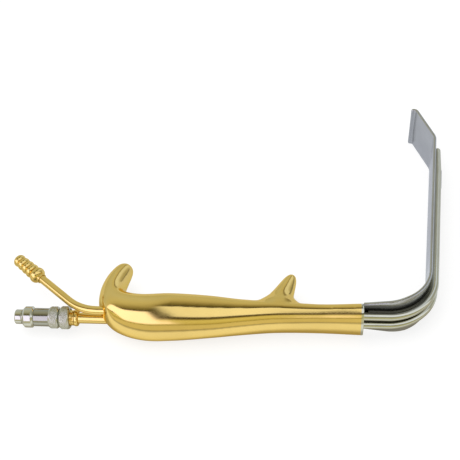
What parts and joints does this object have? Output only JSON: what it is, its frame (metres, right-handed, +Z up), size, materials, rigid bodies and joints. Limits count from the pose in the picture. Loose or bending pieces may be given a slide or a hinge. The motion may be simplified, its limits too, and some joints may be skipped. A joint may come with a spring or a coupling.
{
  "type": "fiber optic retractor",
  "caption": "Hand-held surgical retractor with a hollow hooked handle, a curved right-angle blade, a suction tube and a light tube along the blade, and a light-cable adapter.",
  "frame": {"origin": "on the surface the instrument lies on, under the middle of its bounding box", "axes": "+X runs along the handle from its rear to the blade, +Y is the way the blade points from the handle, +Z is up, across the width of the instrument lying on its side"},
  "size_m": [0.2534, 0.1728, 0.029],
  "materials": {
    "gold_coating": "gold-coloured hard coating on polished steel",
    "satin_steel": "satin stainless steel",
    "polished_steel": "polished stainless steel",
    "knurled_steel": "finely knurled steel",
    "light_fibres": "bundle of glass fibres set in resin, modelled as one bar",
    "window_glass": "polished fibre end"
  },
  "bodies": {
    "retractor": {"handle_left_shell": "gold_coating", "handle_right_shell": "gold_coating", "front_end_plate": "polished_steel", "blade": "satin_steel", "blade_suction_tube": "polished_steel", "blade_light_tube": "polished_steel", "fibre_bundle": "light_fibres", "light_head": "satin_steel", "light_window": "window_glass", "rear_suction_tube": "gold_coating", "hose_barb": "gold_coating", "suction_coupling": "polished_steel", "light_coupling": "polished_steel", "light_post": "gold_coating", "post_ring": "gold_coating", "post_collar": "gold_coating", "inlet_ferrule": "polished_steel"},
    "light_adapter": {"adapter_barrel": "knurled_steel", "adapter_tip": "polished_steel", "retaining_ring": "polished_steel"},
    "union_nut": {"union_nut": "knurled_steel"}
  },
  "joints": [
    {"name": "adapter_slide", "type": "slide", "parent": "retractor", "child": "light_adapter", "axis": [-1, 0, 0], "range_m": [0, 0.003]},
    {"name": "nut_turn", "type": "hinge", "parent": "light_adapter", "child": "union_nut", "pos_m": [-0.09166, -0.07269, 0.01076], "axis": [-1, 0, 0], "range_deg": [0, 1080]}
  ],
  "couplings": [
    {"joint": "nut_turn", "follows": "adapter_slide", "rad_per_m": 6283}
  ]
}
